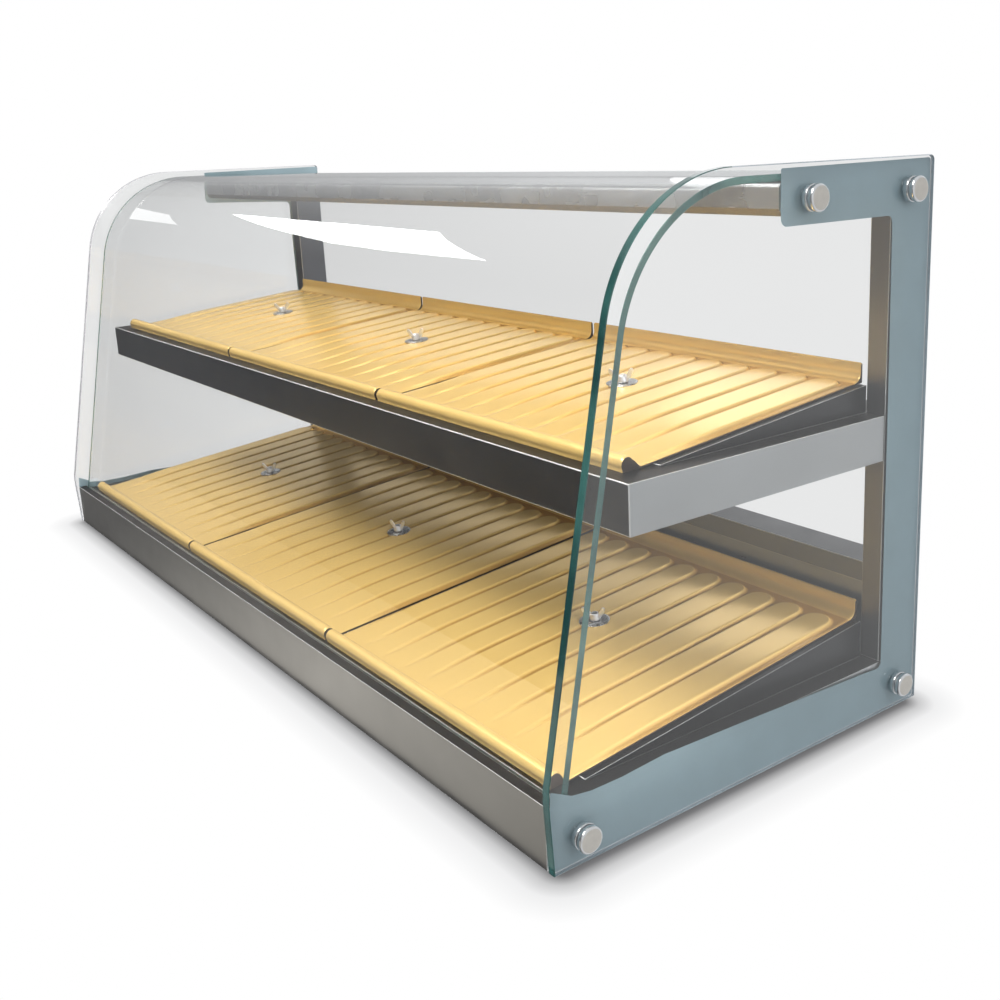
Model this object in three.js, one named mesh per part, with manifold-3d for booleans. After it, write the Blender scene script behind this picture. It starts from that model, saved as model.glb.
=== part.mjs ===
// Two-tier heated counter display case with flat side glass, a bent front glass,
// sloping ribbed food trays and a stainless base, shelf and header.
// Millimetres, +Z up. X runs along the case (+X on the right of someone facing
// the front), the front faces -Y, and the origin is on the counter under the
// middle of the case.
import * as THREE from 'three';
import Module from 'manifold-3d';
import { mergeVertices } from 'three/addons/utils/BufferGeometryUtils.js';

const wasm = await Module();
wasm.setup();

// ---------------------------------------------------------------- dimensions
const HALF_W = 600;          // outer faces of the side glass
const SIDE_T = 8;            // side glass
const FRONT_T = 6;           // bent front glass
const Y_FRONT = -224;        // foremost point of the side glass
const Y_REAR = 224;          // rear edge of the side glass
const TOP = 520;             // top edge of the side glass
const FOOT_H = 3;            // rubber pads under the base
const GAP = 0.3;             // clearance between touching pieces
const LEAN = 66 / 334;       // how far the front glass leans back per unit height

const SIDE_R = 130;          // radius of the side glass front-top corner
const GLASS_R = 135;         // outer radius of the bend in the front glass
const GLASS_TOP = 512;       // top face of the front glass
const GLASS_HALF = 589.5;
const GLASS_BACK = 96;       // rear edge of the front glass on the header

const BASE_HALF = 590;
const BASE_FRONT = -220.5;
const BASE_BACK = 221;
const BASE_TOP = 53;
const RIM_TOP = 58;          // raised rim that holds the foot of the front glass
const SLOT = [-209.8, -200.8, 50];
const SHEET = 1.5;

const POST_IN = 568, POST_OUT = 589, POST_F = 173.6, POST_B = 215.6;
const HEADER_BOT = 478.5, HEADER_TOP = 504.4, HEADER_F = 32, HEADER_B = 214, HEADER_HALF = 588;

const SHELF_HALF = 590, SHELF_F = -132.5, SHELF_TOP = 293, SHELF_BOT = 251;

const TRAY_W = 375, TRAY_STEP = 377.5, TRAY_T = 5, TRAY_REAR = 172, LIP_H = 12.5, UPSTAND = 14;
const LOWER = { name: 'lower', lip: -196, kneeY: -183, floor: BASE_TOP, slope: 0.104, nutY: 3 };
const UPPER = { name: 'upper', lip: -117, kneeY: -97, floor: SHELF_TOP, slope: 0.097, nutY: 47 };
const RIBS = 10, RIB_PITCH = 36.6, RIB_REAR = 150;
const DECK_HALF = 571, DECK_BACK = 169.5, DECK_SHEET = 1.2;

// centres of the glass fixings, as (y, z)
const FIXINGS = { base_front: [-193, 28], base_rear: [194, 28], header_front: [60, 492], header_rear: [190, 492] };

// ------------------------------------------------------------------- helpers
const steel = (rough = 0.35) => new THREE.MeshStandardMaterial({ color: 0x8f8f8c, roughness: rough, metalness: 1 });
const chrome = () => new THREE.MeshStandardMaterial({ color: 0xd8d8da, roughness: 0.12, metalness: 1 });
const glass = () => new THREE.MeshStandardMaterial({ color: 0xdff0ea, roughness: 0.02, metalness: 0, transparent: true, opacity: 0.3 });
const gold = () => new THREE.MeshStandardMaterial({ color: 0xe8c66e, roughness: 0.45, metalness: 0.35 });
const black = () => new THREE.MeshStandardMaterial({ color: 0x17171a, roughness: 0.6, metalness: 0 });

function bare(geometry) {
  let g = geometry.index ? geometry.toNonIndexed() : geometry.clone();
  for (const key of Object.keys(g.attributes)) if (key !== 'position') g.deleteAttribute(key);
  g = mergeVertices(g, 1e-4);
  const index = g.index.array, keep = [];
  for (let i = 0; i < index.length; i += 3) {
    const [a, b, c] = [index[i], index[i + 1], index[i + 2]];
    if (a !== b && b !== c && c !== a) keep.push(a, b, c);
  }
  g.setIndex(keep);
  return g;
}
function solid(geometry) {
  const g = bare(geometry);
  return new wasm.Manifold(new wasm.Mesh({
    numProp: 3,
    vertProperties: new Float32Array(g.attributes.position.array),
    triVerts: new Uint32Array(g.index.array),
  }));
}
function geometryOf(body) {
  const m = body.getMesh();
  const g = new THREE.BufferGeometry();
  const out = new Float32Array(m.numVert * 3);
  for (let i = 0; i < m.numVert; i++) for (let k = 0; k < 3; k++) out[3 * i + k] = m.vertProperties[m.numProp * i + k];
  g.setAttribute('position', new THREE.BufferAttribute(out, 3));
  g.setIndex(Array.from(m.triVerts));
  g.computeVertexNormals();
  return g;
}
const box = (x0, x1, y0, y1, z0, z1) =>
  new THREE.BoxGeometry(x1 - x0, y1 - y0, z1 - z0).translate((x0 + x1) / 2, (y0 + y1) / 2, (z0 + z1) / 2);
function shapeOf(points) {
  const s = new THREE.Shape();
  points.forEach(([u, v], i) => (i ? s.lineTo(u, v) : s.moveTo(u, v)));
  s.closePath();
  return s;
}
// outline in (y, z), extruded along X
const alongX = (points, x0, x1) => new THREE.ExtrudeGeometry(shapeOf(points), { depth: x1 - x0, bevelEnabled: false, steps: 1 })
  .applyMatrix4(new THREE.Matrix4().makeBasis(new THREE.Vector3(0, 1, 0), new THREE.Vector3(0, 0, 1), new THREE.Vector3(1, 0, 0)))
  .translate(x0, 0, 0);
// outline in (x, y), extruded along Z
const alongZ = (points, z0, z1) => new THREE.ExtrudeGeometry(shapeOf(points), { depth: z1 - z0, bevelEnabled: false, steps: 1 }).translate(0, 0, z0);
// profile in (r, h) turned about Z
const turned = (profile, segments = 24) =>
  new THREE.LatheGeometry(profile.map(([r, h]) => new THREE.Vector2(r, h)), segments).rotateX(Math.PI / 2);
const rod = (r, z0, z1, segments = 20) => turned([[0, z0], [r, z0], [r, z1], [0, z1]], segments);
const arc = (cy, cz, r, a0, a1, n) => Array.from({ length: n + 1 }, (_, i) => {
  const a = (a0 + (a1 - a0) * i / n) * Math.PI / 180;
  return [cy + r * Math.cos(a), cz + r * Math.sin(a)];
});

const part = new THREE.Group();
function add(name, geometry, material, parent = part) {
  const mesh = new THREE.Mesh(geometry, material);
  mesh.name = name;
  parent.add(mesh);
  return mesh;
}

// ---------------------------------------------------------------- base
const baseOuter = [
  [BASE_FRONT, FOOT_H], [BASE_FRONT, RIM_TOP], [SLOT[0], RIM_TOP], [SLOT[0], SLOT[2]], [SLOT[1], SLOT[2]],
  [SLOT[1], BASE_TOP + 1.2], [SLOT[1] + 1.4, BASE_TOP + 1.2], [SLOT[1] + 1.4, BASE_TOP], [BASE_BACK, BASE_TOP], [BASE_BACK, FOOT_H],
];
const baseInner = [
  [BASE_FRONT + SHEET, 1], [BASE_FRONT + SHEET, RIM_TOP - SHEET], [SLOT[0] - SHEET, RIM_TOP - SHEET], [SLOT[0] - SHEET, SLOT[2] - SHEET],
  [SLOT[1] + SHEET, SLOT[2] - SHEET], [SLOT[1] + SHEET, BASE_TOP - SHEET], [BASE_BACK - SHEET, BASE_TOP - SHEET], [BASE_BACK - SHEET, 1],
];
const CTRL = { knob: -430, power: -372, light: -332, lamp: -298, inlet: 470, z: 28, face: 206 };
const RECESS = [-462, -276, 6, 49.5];   // set-back panel for the controls, as x0, x1, z0, z1
const [rx0, rx1, rz0, rz1] = RECESS;
const baseHollow = solid(alongX(baseInner, -BASE_HALF + SHEET, BASE_HALF - SHEET))
  .subtract(solid(box(rx0 - SHEET, rx1 + SHEET, CTRL.face - SHEET, BASE_BACK, rz0 - SHEET, rz1 + SHEET)));
let base = solid(alongX(baseOuter, -BASE_HALF, BASE_HALF)).subtract(baseHollow)
  .subtract(solid(box(rx0, rx1, CTRL.face, BASE_BACK + 5, rz0, rz1)));
const holeX = (y, z, r) => solid(rod(r, -700, 700, 20).rotateY(Math.PI / 2).translate(0, y, z));
const holeY = (x, z, r, y0 = 200, y1 = 240) => solid(turned([[0, -y1], [r, -y1], [r, -y0], [0, -y0]], 20).rotateX(Math.PI / 2).translate(x, 0, z));
for (const key of ['base_front', 'base_rear']) base = base.subtract(holeX(...FIXINGS[key], 4.6));
base = base.subtract(holeY(CTRL.knob, CTRL.z, 4.5));
base = base.subtract(solid(box(CTRL.power - 9.8, CTRL.power + 9.8, 200, 240, CTRL.z - 6.8, CTRL.z + 6.8)));
base = base.subtract(solid(box(CTRL.light - 9.8, CTRL.light + 9.8, 200, 240, CTRL.z - 6.8, CTRL.z + 6.8)));
base = base.subtract(holeY(CTRL.lamp, CTRL.z, 5.2));
base = base.subtract(solid(box(CTRL.inlet - 13.8, CTRL.inlet + 13.8, 200, 240, CTRL.z - 10.2, CTRL.z + 10.2)));
for (const s of [-1, 1]) base = base.subtract(solid(rod(7, 40, 60).translate(s * 578.5, 194.6, 0)));   // wires up into the posts
add('base_housing', geometryOf(base), steel());

add('bottom_plate', box(-BASE_HALF + SHEET + GAP, BASE_HALF - SHEET - GAP, BASE_FRONT + SHEET + GAP, BASE_BACK - SHEET - GAP, FOOT_H, FOOT_H + 1.2), steel(0.5));
for (const [tag, x, y] of [['front_left', -540, -180], ['front_right', 540, -180], ['rear_left', -540, 176], ['rear_right', 540, 176]]) {
  add(`foot_${tag}`, bare(rod(15, 0, FOOT_H - GAP, 24)), black()).position.set(x, y, 0);
}

// ---------------------------------------------------------------- glass
const lean = Math.atan(LEAN) * 180 / Math.PI;
const kneeZ = 70;
const sideTangent = (() => {
  const cz = TOP - SIDE_R, z = cz + SIDE_R * Math.sin(lean * Math.PI / 180);
  const y = Y_FRONT + LEAN * (z - kneeZ);
  return { cy: y + SIDE_R * Math.cos(lean * Math.PI / 180), cz };
})();
const sideProfile = [
  [Y_FRONT + 3, FOOT_H], [Y_FRONT + 0.5, 52], [Y_FRONT, kneeZ - 6], [Y_FRONT + 0.6, kneeZ + 6],
  ...arc(sideTangent.cy, sideTangent.cz, SIDE_R, 180 - lean, 90, 18),
  ...arc(Y_REAR - 4, TOP - 4, 4, 90, 0, 3), [Y_REAR, FOOT_H],
].reverse();
for (const [tag, s] of [['left', -1], ['right', 1]]) {
  const x0 = s > 0 ? HALF_W - SIDE_T : -HALF_W;
  let pane = solid(alongX(sideProfile, x0, x0 + SIDE_T));
  for (const [y, z] of Object.values(FIXINGS)) pane = pane.subtract(holeX(y, z, 5));
  add(`side_glass_${tag}`, geometryOf(pane), glass());
}

const bendY = -7, bendZ = GLASS_TOP - GLASS_R;
const footDrop = (r) => {   // straight part below the bend, down to the slot
  const [y, z] = arc(bendY, bendZ, r, 180 - lean, 180 - lean, 1)[0];
  const bottom = SLOT[2] + GAP;
  return [y - LEAN * (z - bottom), bottom];
};
const frontOuter = [footDrop(GLASS_R), ...arc(bendY, bendZ, GLASS_R, 180 - lean, 90, 18), [GLASS_BACK, GLASS_TOP]];
const frontInner = [footDrop(GLASS_R - FRONT_T), ...arc(bendY, bendZ, GLASS_R - FRONT_T, 180 - lean, 90, 18), [GLASS_BACK, GLASS_TOP - FRONT_T]];
add('front_glass', bare(alongX([...frontOuter, ...frontInner.reverse()].reverse(), -GLASS_HALF, GLASS_HALF)), glass());

// ---------------------------------------------------------------- posts, header, rear bar
for (const [tag, s] of [['left', -1], ['right', 1]]) {
  const x0 = s > 0 ? POST_IN : -POST_OUT, x1 = s > 0 ? POST_OUT : -POST_IN;
  const tube = solid(box(x0, x1, POST_F, POST_B, BASE_TOP + GAP, HEADER_BOT - GAP))
    .subtract(solid(box(x0 + SHEET, x1 - SHEET, POST_F + SHEET, POST_B - SHEET, 0, 600)));
  add(`post_${tag}`, geometryOf(tube), steel(0.4));
}
const headerOuter = [[HEADER_F, HEADER_BOT + 6], [HEADER_F, HEADER_TOP - 3], [HEADER_F + 0.9, HEADER_TOP - 0.9], [HEADER_F + 3, HEADER_TOP], [HEADER_B, HEADER_TOP], [HEADER_B, HEADER_BOT], [HEADER_F + 4, HEADER_BOT]].reverse();
const headerInner = [[HEADER_F + SHEET, HEADER_BOT + 6.4], [HEADER_F + SHEET, HEADER_TOP - 3.4], [HEADER_F + 3.4, HEADER_TOP - SHEET], [HEADER_B - SHEET, HEADER_TOP - SHEET], [HEADER_B - SHEET, HEADER_BOT + SHEET], [HEADER_F + 5, HEADER_BOT + SHEET]].reverse();
let header = solid(alongX(headerOuter, -HEADER_HALF, HEADER_HALF)).subtract(solid(alongX(headerInner, -HEADER_HALF + SHEET, HEADER_HALF - SHEET)));
header = header.subtract(solid(box(-545, 545, 52, 112, 470, 482)));
for (const key of ['header_front', 'header_rear']) header = header.subtract(holeX(...FIXINGS[key], 4.6));
for (const s of [-1, 1]) header = header.subtract(solid(rod(7, 470, 490).translate(s * 578.5, 194.6, 0)));
add('header_housing', geometryOf(header), steel());
add('glass_gasket', box(-GLASS_HALF + 1, GLASS_HALF - 1, HEADER_F + 4, GLASS_BACK - 2, HEADER_TOP + GAP, GLASS_TOP - FRONT_T - GAP), black());
add('lamp_diffuser', box(-550, 550, 48, 116, HEADER_BOT + SHEET + GAP, HEADER_BOT + SHEET + GAP + 3), new THREE.MeshStandardMaterial({ color: 0xf6f2e6, roughness: 0.4, metalness: 0 }));
add('lamp_strip', box(-540, 540, 70, 94, HEADER_TOP - SHEET - GAP - 5, HEADER_TOP - SHEET - GAP), new THREE.MeshStandardMaterial({ color: 0xf0efe8, roughness: 0.5, metalness: 0 }));

const BAR_BOT = 126.5, BAR_TOP = 147;
const bar = solid(box(-POST_IN + GAP, POST_IN - GAP, 176, 215, BAR_BOT, BAR_TOP))
  .subtract(solid(box(-600, 600, 176 + SHEET, 215 - SHEET, BAR_BOT + SHEET, BAR_TOP - SHEET)));
add('rear_crossbar', geometryOf(bar), steel(0.4));
add('lower_back_panel', box(-POST_IN + GAP, POST_IN - GAP, 180, 181.5, BASE_TOP + GAP, BAR_BOT - GAP), steel(0.4));

// ---------------------------------------------------------------- shelf
const shelfOutline = (inset) => {
  const w = SHELF_HALF - inset, n = POST_IN - 1.5 - inset, f = SHELF_F + inset, m = 171.5 - inset, b = 214 - inset;
  return [[-w, f], [w, f], [w, m], [n, m], [n, b], [-n, b], [-n, m], [-w, m]];
};
let shelf = solid(alongZ(shelfOutline(0), SHELF_BOT, SHELF_TOP)).subtract(solid(alongZ(shelfOutline(SHEET), SHELF_BOT - 2, SHELF_TOP - SHEET)));
for (const s of [-1, 1]) shelf = shelf.subtract(solid(box(s * 567 - 3, s * 567 + 3, 190, 200, 262, 272)));
add('shelf_frame', geometryOf(shelf), steel());
add('shelf_bottom_plate', alongZ(shelfOutline(SHEET + GAP), SHELF_BOT + 1, SHELF_BOT + 2.2), steel(0.5));

// ---------------------------------------------------------------- decks, trays and hold-downs for both tiers
const COLUMNS = [['left', -TRAY_STEP], ['centre', 0], ['right', TRAY_STEP]];
const wingMaterial = chrome;

function traySection(t) {
  const z0 = t.floor + GAP;                                   // underside where the tray meets its floor
  const under = (y) => z0 + t.slope * Math.max(0, y - t.kneeY);
  const lipC = [t.lip + 5, z0 + LIP_H - 5];
  const top = (y) => under(y) + TRAY_T;
  const rear = TRAY_REAR, wall = 2.5, r = 9;
  const points = [[t.lip, z0], [t.kneeY, z0], [rear, under(rear)], [rear, top(rear) + UPSTAND]];
  points.push([rear - wall, top(rear) + UPSTAND]);
  const by = rear - wall - r, bz = top(by) + r;               // rounded foot of the rear upstand
  points.push(...arc(by, bz, r, 0, -84, 4));
  points.push([t.kneeY + 2, z0 + TRAY_T + 0.1], [t.kneeY - 4, z0 + TRAY_T - 0.4]);
  points.push([t.lip + 11, z0 + TRAY_T + 0.2]);
  points.push(...arc(lipC[0], lipC[1], 5, 10, 180, 7));
  return points;
}

for (const t of [LOWER, UPPER]) {
  const z0 = t.floor + GAP;
  const angle = Math.atan(t.slope);
  const under = (y) => z0 + t.slope * (y - t.kneeY);

  // folded wedge that carries the three trays of the tier
  const f = t.kneeY + 14, lift = (y) => under(y) - GAP;
  const outer = [[f, z0], [f, lift(f)], [DECK_BACK, lift(DECK_BACK)], [DECK_BACK, z0]].reverse();
  const fi = f + 9;
  const inner = [[fi, z0 - 2], [fi, lift(fi) - DECK_SHEET], [DECK_BACK - DECK_SHEET, lift(DECK_BACK - DECK_SHEET) - DECK_SHEET], [DECK_BACK - DECK_SHEET, z0 - 2]].reverse();
  let deck = solid(alongX(outer, -DECK_HALF, DECK_HALF)).subtract(solid(alongX(inner, -DECK_HALF + DECK_SHEET, DECK_HALF - DECK_SHEET)));
  for (const [, x] of COLUMNS) deck = deck.subtract(solid(rod(4.2, -40, 40, 16).rotateX(angle).translate(x, t.nutY, under(t.nutY))));
  add(`${t.name}_deck`, geometryOf(deck), steel(0.4));

  const section = traySection(t);
  for (const [tag, x] of COLUMNS) {
    let tray = solid(alongX(section, -TRAY_W / 2, TRAY_W / 2));
    tray = tray.subtract(solid(rod(3.6, -40, 40, 16).rotateX(angle).translate(0, t.nutY, under(t.nutY))));
    const run = (RIB_REAR - t.kneeY - 12) / Math.cos(angle);   // narrow valleys between the raised fingers
    for (let k = 1; k < RIBS; k++) {
      const valley = alongZ([[-3.2, 1], [0, -2.4], [3.2, 1]], 0, run).rotateX(Math.PI / 2 + angle)
        .translate((k - RIBS / 2) * RIB_PITCH, RIB_REAR, under(RIB_REAR) + TRAY_T);
      tray = tray.subtract(solid(valley));
    }
    add(`tray_${t.name}_${tag}`, geometryOf(tray), gold()).position.x = x;

    // washer and wing screw stand square to the sloping tray
    const seat = new THREE.Group();
    seat.position.set(x, t.nutY, under(t.nutY));
    seat.rotation.x = angle;
    part.add(seat);
    const w0 = TRAY_T * Math.cos(angle) + GAP, w1 = w0 + 1.6;
    add(`washer_${t.name}_${tag}`, bare(turned([[3.5, w0], [14.1, w0], [14.5, w0 + 0.4], [14.5, w1 - 0.4], [14.1, w1], [3.5, w1], [3.5, w0]], 24)), chrome(), seat);
    const s0 = w1 + GAP;
    let screw = solid(turned([[0, -9], [2.4, -9], [3, -8.2], [3, s0], [5.6, s0], [5.6, s0 + 1.4], [4.4, s0 + 6.4], [3.2, s0 + 7.4], [0, s0 + 7.4]], 16));
    const ear = [[1.5, 1.2], [4.6, 1.2], [7.0, 4.6], [10.6, 9.4], [11.2, 11.6], [10.2, 13.2], [8.4, 13.0], [6.6, 10.8], [4.4, 7.6], [1.5, 5.6]];
    for (const s of [1, -1]) {
      const outline = ear.map(([u, v]) => [s * u, v + s0]);
      if (s < 0) outline.reverse();
      const blade = new THREE.ExtrudeGeometry(shapeOf(outline), { depth: 2.2, bevelEnabled: false }).translate(0, 0, -1.1).rotateX(Math.PI / 2);
      screw = screw.add(solid(blade));
    }
    add(`wing_screw_${t.name}_${tag}`, geometryOf(screw), wingMaterial(), seat);
  }
}

// tubular elements under the decks, one per tier
class Legs extends THREE.Curve {      // a polyline stepped point by point
  constructor(points) { super(); this.points = points; }
  getPoint(t, target = new THREE.Vector3()) {
    const n = this.points.length - 1, f = Math.min(t * n, n - 1e-9), i = Math.floor(f);
    return target.copy(this.points[i]).lerp(this.points[i + 1], f - i);
  }
  getPointAt(u, target) { return this.getPoint(u, target); }
  getTangentAt(u, target = new THREE.Vector3()) {
    const n = this.points.length - 1, k = Math.round(u * n);
    const a = this.points[Math.max(0, k - 1)], b = this.points[Math.min(n, k + 1)];
    return target.copy(b).sub(a).normalize();
  }
  getSpacedPoints() { return this.points.map((p) => p.clone()); }
}
function heater(name, ys, z, r, half) {
  const pts = [];
  ys.forEach((y, i) => {
    const s = i % 2 ? -1 : 1, R = i < ys.length - 1 ? (ys[i + 1] - y) / 2 : 0;
    pts.push(new THREE.Vector3(-s * (i ? half : half + 18), y, z));
    if (i < ys.length - 1) {
      for (let k = 0; k < 6; k++) {
        const a = -Math.PI / 2 + Math.PI * k / 6;
        pts.push(new THREE.Vector3(s * (half + R * Math.cos(a)), y + R + R * Math.sin(a), z));
      }
    } else pts.push(new THREE.Vector3(s * (half + 18), y, z));
  });
  const path = new Legs(pts);
  const ring = shapeOf(Array.from({ length: 8 }, (_, i) => [r * Math.cos((i + 0.5) * Math.PI / 4), r * Math.sin((i + 0.5) * Math.PI / 4)]));
  const g = new THREE.ExtrudeGeometry(ring, { steps: pts.length - 1, bevelEnabled: false, extrudePath: path });
  add(name, bare(g), new THREE.MeshStandardMaterial({ color: 0x5b5a57, roughness: 0.55, metalness: 0.9 }));
}
heater('heater_lower', [30, 62, 94, 126], 62, 4, 500);
heater('heater_upper', [72, 94, 116, 138], 299.5, 3.2, 500);

// ---------------------------------------------------------------- glass fixings
const standoff = [[0, 11.3], [10.6, 11.3], [11.3, 10.6], [11.3, 6.6], [8.4, 6.6], [8.4, 4.6], [11.3, 4.6], [11.3, GAP], [4, GAP], [4, -14], [0, -14]].reverse();
for (const [tag, s] of [['left', -1], ['right', 1]]) {
  for (const [where, [y, z]] of Object.entries(FIXINGS)) {
    const m = add(`standoff_${tag}_${where}`, bare(turned(standoff, 24).rotateY(Math.PI / 2)), chrome());
    m.position.set(s * HALF_W, y, z);
    if (s < 0) m.rotation.z = Math.PI;
  }
}

// ---------------------------------------------------------------- controls on the operator's side
const yb = CTRL.face, ib = BASE_BACK;
const outY = (g) => g.rotateX(-Math.PI / 2);               // profile height runs to +Y
const thermostat = solid(box(CTRL.knob - 17, CTRL.knob + 17, 168, yb - SHEET - GAP, 10, 46))
  .add(solid(outY(rod(3, 190, yb + 9, 16)).translate(CTRL.knob, 0, CTRL.z)));
add('thermostat', geometryOf(thermostat), steel(0.5));
const knob = solid(outY(turned([[0, 0.3], [15, 0.3], [15, 2.2], [13, 4], [11.6, 12], [10.6, 12.8], [0, 12.8]], 32)))
  .subtract(solid(outY(rod(3.25, -2, 9.4, 16))))
  .subtract(solid(box(-0.7, 0.7, 11.9, 20, 2, 14)));
add('thermostat_knob', geometryOf(knob), black()).position.set(CTRL.knob, yb, CTRL.z);
for (const [name, x] of [['power_switch', CTRL.power], ['light_switch', CTRL.light]]) {
  const frame = solid(box(-11.5, 11.5, yb + GAP, yb + 2.2, -8.5, 8.5)).add(solid(box(-9.5, 9.5, yb - 20, yb + 1, -6.5, 6.5)))
    .subtract(solid(box(-8.3, 8.3, yb - 6, yb + 4, -5.3, 5.3)));
  add(`${name}_frame`, geometryOf(frame), black()).position.set(x, 0, CTRL.z);
  // the rocker tips about its middle, 9 degrees each way from level; it rests with one end in
  const rocker = alongZ([[-7.6, 0], [-7.0, -1.8], [7.0, -1.8], [7.6, 0], [7.2, 3.4], [0, 1.7], [-7.2, 3.4]], -4.8, 4.8);
  const r = add(`${name}_rocker`, bare(rocker), black());
  r.position.set(x, yb, CTRL.z);
  r.rotation.z = -9 * Math.PI / 180;
}
add('indicator_lamp', bare(outY(turned([[0, -16], [4.9, -16], [4.9, GAP], [7, GAP], [7, 1.8], [5.6, 2.2], [4.4, 4.2], [2.2, 5.2], [0, 5.5]], 20))),
  new THREE.MeshStandardMaterial({ color: 0xb3321f, roughness: 0.3, metalness: 0 })).position.set(CTRL.lamp, yb, CTRL.z);
let inlet = solid(box(-25, 25, ib + GAP, ib + 2.8, -11.5, 11.5)).add(solid(box(-13.5, 13.5, ib - 24, ib + 1, -9.9, 9.9)))
  .subtract(solid(box(-12, 12, ib - 16, ib + 4, -8.4, 8.4)));
for (const [dx, dz] of [[-7, -1.8], [0, 2.2], [7, -1.8]]) inlet = inlet.add(solid(box(dx - 1, dx + 1, ib - 18, ib - 4, dz - 2, dz + 2)));
add('power_inlet', geometryOf(inlet), black()).position.set(CTRL.inlet, 0, CTRL.z);

export default part;
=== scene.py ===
import math

import bmesh
import bpy
from mathutils import Matrix, Vector
from mathutils.geometry import delaunay_2d_cdt


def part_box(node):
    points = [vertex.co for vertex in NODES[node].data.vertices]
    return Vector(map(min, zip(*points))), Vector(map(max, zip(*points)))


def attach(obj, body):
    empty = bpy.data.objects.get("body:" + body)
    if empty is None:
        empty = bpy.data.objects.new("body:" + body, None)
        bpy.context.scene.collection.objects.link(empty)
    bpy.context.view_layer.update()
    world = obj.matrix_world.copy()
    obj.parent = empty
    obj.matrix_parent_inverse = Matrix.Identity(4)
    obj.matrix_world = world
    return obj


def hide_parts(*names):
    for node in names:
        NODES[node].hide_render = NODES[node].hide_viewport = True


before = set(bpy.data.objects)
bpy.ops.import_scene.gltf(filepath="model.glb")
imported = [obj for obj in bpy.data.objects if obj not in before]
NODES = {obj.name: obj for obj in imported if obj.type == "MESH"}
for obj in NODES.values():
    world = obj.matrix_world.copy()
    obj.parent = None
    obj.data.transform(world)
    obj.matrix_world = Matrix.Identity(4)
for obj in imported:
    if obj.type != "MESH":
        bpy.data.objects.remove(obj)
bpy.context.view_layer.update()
MM = 0.001
SIDES = ("left", "right")
COLS = ("left", "centre", "right")
scene = bpy.context.scene

# --------------------------------------------------------------- camera and light
AZ, EL, ROLL = math.radians(52.6), math.radians(13.95), math.radians(-2.21)
fwd = Vector((-math.sin(AZ) * math.cos(EL), math.cos(AZ) * math.cos(EL), -math.sin(EL)))
right = Vector((math.cos(AZ), math.sin(AZ), 0))
up = right.cross(fwd)
r2 = right * math.cos(ROLL) + up * math.sin(ROLL)
u2 = -right * math.sin(ROLL) + up * math.cos(ROLL)
cam_data = bpy.data.cameras.new("camera")
cam_data.sensor_width = 36
cam_data.lens = 42.126
cam_data.shift_x, cam_data.shift_y = -0.062, -0.068
cam_data.clip_start, cam_data.clip_end = 0.02, 60
cam = bpy.data.objects.new("camera", cam_data)
cam.matrix_world = Matrix((
    (r2.x, u2.x, -fwd.x, 1.22872),
    (r2.y, u2.y, -fwd.y, -0.67863),
    (r2.z, u2.z, -fwd.z, 0.54303),
    (0, 0, 0, 1)))
scene.collection.objects.link(cam)
scene.camera = cam
scene.view_settings.view_transform = "Standard"
scene.view_settings.look = "None"


def area(name, at, to, size, watts, color=(1, 1, 1), spread=180):
    data = bpy.data.lights.new(name, "AREA")
    data.shape = "RECTANGLE"
    data.size, data.size_y = size
    data.energy = watts
    data.color = color
    data.spread = math.radians(spread)
    o = bpy.data.objects.new(name, data)
    o.location = at
    o.rotation_euler = (Vector(to) - Vector(at)).to_track_quat("-Z", "Y").to_euler()
    scene.collection.objects.link(o)
    return o


area("key_overhead", (-0.8, -2.2, 3.9), (0, -0.05, 0.1), (4.4, 1.5), 272, (1, 0.985, 0.955))
side_fill = area("fill_right", (2.3, 0.15, 0.85), (0.2, 0, 0.15), (1.3, 1.0), 6, (0.98, 0.985, 1))
side_fill.visible_glossy = False
area("rim_back", (-0.6, 2.2, 1.5), (0, 0, 0.3), (2.4, 1.2), 5)

low_fill = area("low_fill", (1.9, 0.30, 0.62), (0.35, 0.08, 0.08), (0.8, 0.4), 30, (1, 0.965, 0.93))
low_fill.visible_glossy = False
low_fill_on = bpy.data.collections.new("low_fill_on")
low_fill.light_linking.receiver_collection = low_fill_on

world = bpy.data.worlds.new("studio")
scene.world = world
world.use_nodes = True
wt = world.node_tree
for n in list(wt.nodes):
    wt.nodes.remove(n)


def wn(kind, **props):
    n = wt.nodes.new(kind)
    for k, v in props.items():
        setattr(n, k, v)
    return n


coord = wn("ShaderNodeTexCoord")
sep = wn("ShaderNodeSeparateXYZ")
wt.links.new(coord.outputs["Generated"], sep.inputs[0])
# the room is pale behind and to the right of the case and dimmer in front on the left, low down
dim = wn("ShaderNodeVectorMath", operation="DOT_PRODUCT")
wt.links.new(coord.outputs["Generated"], dim.inputs[0])
dim.inputs[1].default_value = (-0.62, -0.72, -0.32)
ramp = wn("ShaderNodeValToRGB")
wt.links.new(dim.outputs["Value"], ramp.inputs[0])
ramp.color_ramp.elements[0].position = 0.0
ramp.color_ramp.elements[0].color = (0.72, 0.73, 0.74, 1)
ramp.color_ramp.elements[1].position = 0.72
ramp.color_ramp.elements[1].color = (0.085, 0.085, 0.09, 1)
bg_room = wn("ShaderNodeBackground")
wt.links.new(ramp.outputs[0], bg_room.inputs[0])
bg_room.inputs[1].default_value = 1.0
bg_seen = wn("ShaderNodeBackground")
bg_seen.inputs[0].default_value = (1, 1, 1, 1)
lp = wn("ShaderNodeLightPath")
bounced = wn("ShaderNodeMath", operation="ADD")
wt.links.new(lp.outputs["Glossy Depth"], bounced.inputs[0])
wt.links.new(lp.outputs["Diffuse Depth"], bounced.inputs[1])
either = wn("ShaderNodeMath", operation="LESS_THAN")
wt.links.new(bounced.outputs[0], either.inputs[0])
either.inputs[1].default_value = 0.5
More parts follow.
